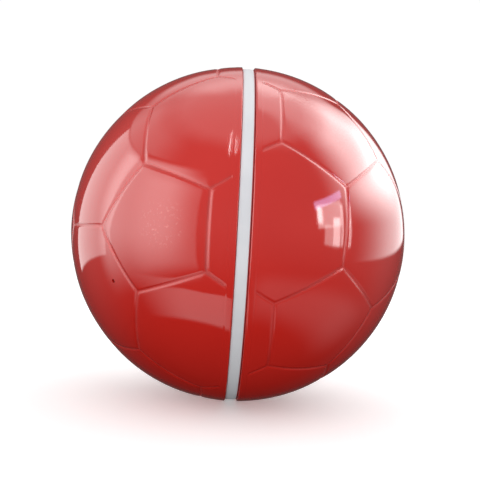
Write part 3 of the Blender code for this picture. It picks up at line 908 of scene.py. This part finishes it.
def card(name, azimuths, elevations, radiance, feather, lean=0.0, slant=0.0, colour=(1, 1, 1)):
    """A softly edged light card on a far sphere, seen only in reflections.

    The feather is the share of its width or height over which the left, right, bottom and top edges fade.
    The lean is how much higher its right edge is than its left one, and the slant how far its top lies
    right.
    """
    obj = card_mesh(name, azimuths, elevations, lean, slant)
    obj.data.materials.append(card_light(name, radiance, feather, colour))
    obj.visible_camera = False
    obj.visible_diffuse = False
    obj.visible_shadow = False
    obj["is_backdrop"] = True


def floor():
    """A wide pale disc under the ball, with a faint glow that keeps it as light as the surround."""
    bm = bmesh.new()
    bmesh.ops.create_circle(bm, cap_ends=True, segments=FLOOR_SEGMENTS, radius=FLOOR_R)
    obj = mesh_object("floor", bm)
    obj.location.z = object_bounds()[0].z
    material = bpy.data.materials.new("pale_floor")
    material.use_nodes = True
    shader = material.node_tree.nodes["Principled BSDF"]
    shader.inputs["Base Color"].default_value = (0.97, 0.985, 0.985, 1)
    shader.inputs["Roughness"].default_value = 0.9
    shader.inputs["Emission Color"].default_value = (1, 1, 1, 1)
    shader.inputs["Emission Strength"].default_value = FLOOR_GLOW
    obj.data.materials.append(material)
    obj.visible_glossy = False
    obj.visible_diffuse = False
    obj.visible_shadow = False
    obj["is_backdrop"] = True


def world():
    """A pale surround, dark below the horizon, and dimmer in reflections, most of all behind the ball."""
    made = bpy.data.worlds.new("studio")
    bpy.context.scene.world = made
    made.use_nodes = True
    n = Nodes(made.node_tree)
    background = n.tree.nodes["Background"]
    background.inputs["Color"].default_value = (1, 1, 1, 1)
    split = n.add("ShaderNodeSeparateXYZ")
    n.feed(n.add("ShaderNodeTexCoord").outputs["Generated"], split.inputs["Vector"])
    path = n.add("ShaderNodeLightPath")
    lighting = n.ramp(split.outputs["Z"], -0.7, -0.2, end=0.93)
    dimmed_behind = n.ramp(split.outputs["Y"], 0.25, 0.85, start=1.0, end=0.25)
    reflected = n.maths("MULTIPLY", n.ramp(split.outputs["Z"], -0.85, 0.2, end=0.48), dimmed_behind)
    strength = n.choose(path.outputs["Is Glossy Ray"], lighting, reflected)
    strength = n.choose(path.outputs["Is Camera Ray"], strength, BACKDROP_STRENGTH)
    n.feed(strength, background.inputs["Strength"])


def softbox(name, azimuth, elevation, distance, size, power):
    """A square lamp aimed at the ball, left out of reflections."""
    lamp = bpy.data.lights.new(name, "AREA")
    lamp.size = size
    lamp.energy = power
    obj = new_object(name, lamp)
    away = direction_at(azimuth, elevation)
    aim = away.to_track_quat("Z", "Y").to_matrix().to_4x4()
    obj.matrix_world = Matrix.Translation(away * distance) @ aim
    obj.visible_camera = False
    obj.visible_glossy = False


floor()
world()
softbox("front_softbox", -10, -4, 1.5, 1.2, 7.2)
softbox("low_softbox", 0, -32, 1.5, 1.0, 0.9)

# Large window and pale walls on the left
card("left_window", (-131, -88), (-12, 37.5), 2.1, feather=(0.02, 0.06, 0.03, 0.03), slant=12)
card("left_wall", (-106, -24), (-34, 37), 2.9, feather=(0.2, 0.35, 0.5, 0.06))
card("left_wall_edge", (-80, -24), (-30, 33), 0.9, feather=(0.4, 0.05, 0.2, 0.1))
card("left_ground", (-84, 14), (-58, -33), 1.5, feather=(0.45, 0.3, 0.15, 0.06), lean=-24)
card("left_sky", (-150, -45), (37, 62), 1.0, feather=(0.3, 0.4, 0.04, 0.6))

# Bright window on the right, and the wall below it
card("right_window", (55, 150), (6, 66), 6.3, feather=(0.45, 0.3, 0.35, 0.3))
card("right_wall", (74, 150), (-6, 40), 2.45, feather=(0.55, 0.08, 0.04, 0.4), lean=14)
card("right_sky", (50, 180), (54, 90), 1.45, feather=(0.3, 0.1, 0.3, 0.05))
card("right_ground", (5, 125), (-60, -20), 0.5, feather=(0.15, 0.35, 0.5, 0.35))

# Small far window between them, with a curtain and a strip of blue sky
card("small_window_glare", (48.5, 54.5), (6, 18), 11.0, feather=(0.3, 0.4, 0.35, 0.15), lean=-1)
card("small_window_pane", (49, 71), (5, 20), 4.6, feather=(0.08, 0.1, 0.12, 0.1), lean=2)
card("small_window_low", (54, 63), (-5, 8), 3.6, feather=(0.2, 0.2, 0.15, 0.15), lean=-1)
card("small_window_curtain", (61.5, 68.5), (-5, 12), 8.5, feather=(0.12, 0.15, 0.12, 0.12))
card("small_window_edge", (68.5, 72.5), (-5, 19), 6.0, feather=(0.3, 0.3, 0.12, 0.1))
SKY_BLUE = (0.58, 0.56, 1.0)
card(
    "small_window_sky", (47.5, 73), (18, 23.5), 6.5, feather=(0.05, 0.06, 0.2, 0.25), lean=6, colour=SKY_BLUE
)

# Above and behind
card("ceiling", (-180, 180), (50, 90), 0.95, feather=(0.002, 0.002, 0.35, 0.002))
card("back_sky", (128, 232), (36, 80), 1.1, feather=(0.15, 0.25, 0.2, 0.3))
card("ceiling_lamp", (-15.2, -14.8), (47, 69), 46.0, feather=(0.3, 0.3, 0.3, 0.3), slant=-5.0)
card("ceiling_lamp_end", (-8.2, -7.8), (49, 64), 40.0, feather=(0.3, 0.3, 0.2, 0.3), slant=-1.5)


# Camera

CAMERA_DISTANCE = 4.55 * BALL_R
SENSOR_WIDTH = 36
LENS = 55.575
SHIFT_X = 0.0043  # shares of the picture's width
SHIFT_Y = -0.0121
TO_CAMERA = Vector((-0.0275, -0.99957, -0.0104)).normalized()
UPRIGHT = Vector((-0.0540, -0.0089, 0.9985))  # leans, as the band leans in the picture


def add_camera():
    right = UPRIGHT.cross(TO_CAMERA).normalized()
    up = TO_CAMERA.cross(right)
    data = bpy.data.cameras.new("camera")
    data.sensor_width = SENSOR_WIDTH
    data.lens = LENS
    data.shift_x = SHIFT_X
    data.shift_y = SHIFT_Y
    camera = new_object("camera", data)
    aim = Matrix((right, up, TO_CAMERA)).transposed().to_4x4()
    camera.matrix_world = Matrix.Translation(TO_CAMERA * CAMERA_DISTANCE) @ aim
    bpy.context.scene.camera = camera


add_camera()
bpy.context.scene.view_settings.view_transform = "Standard"
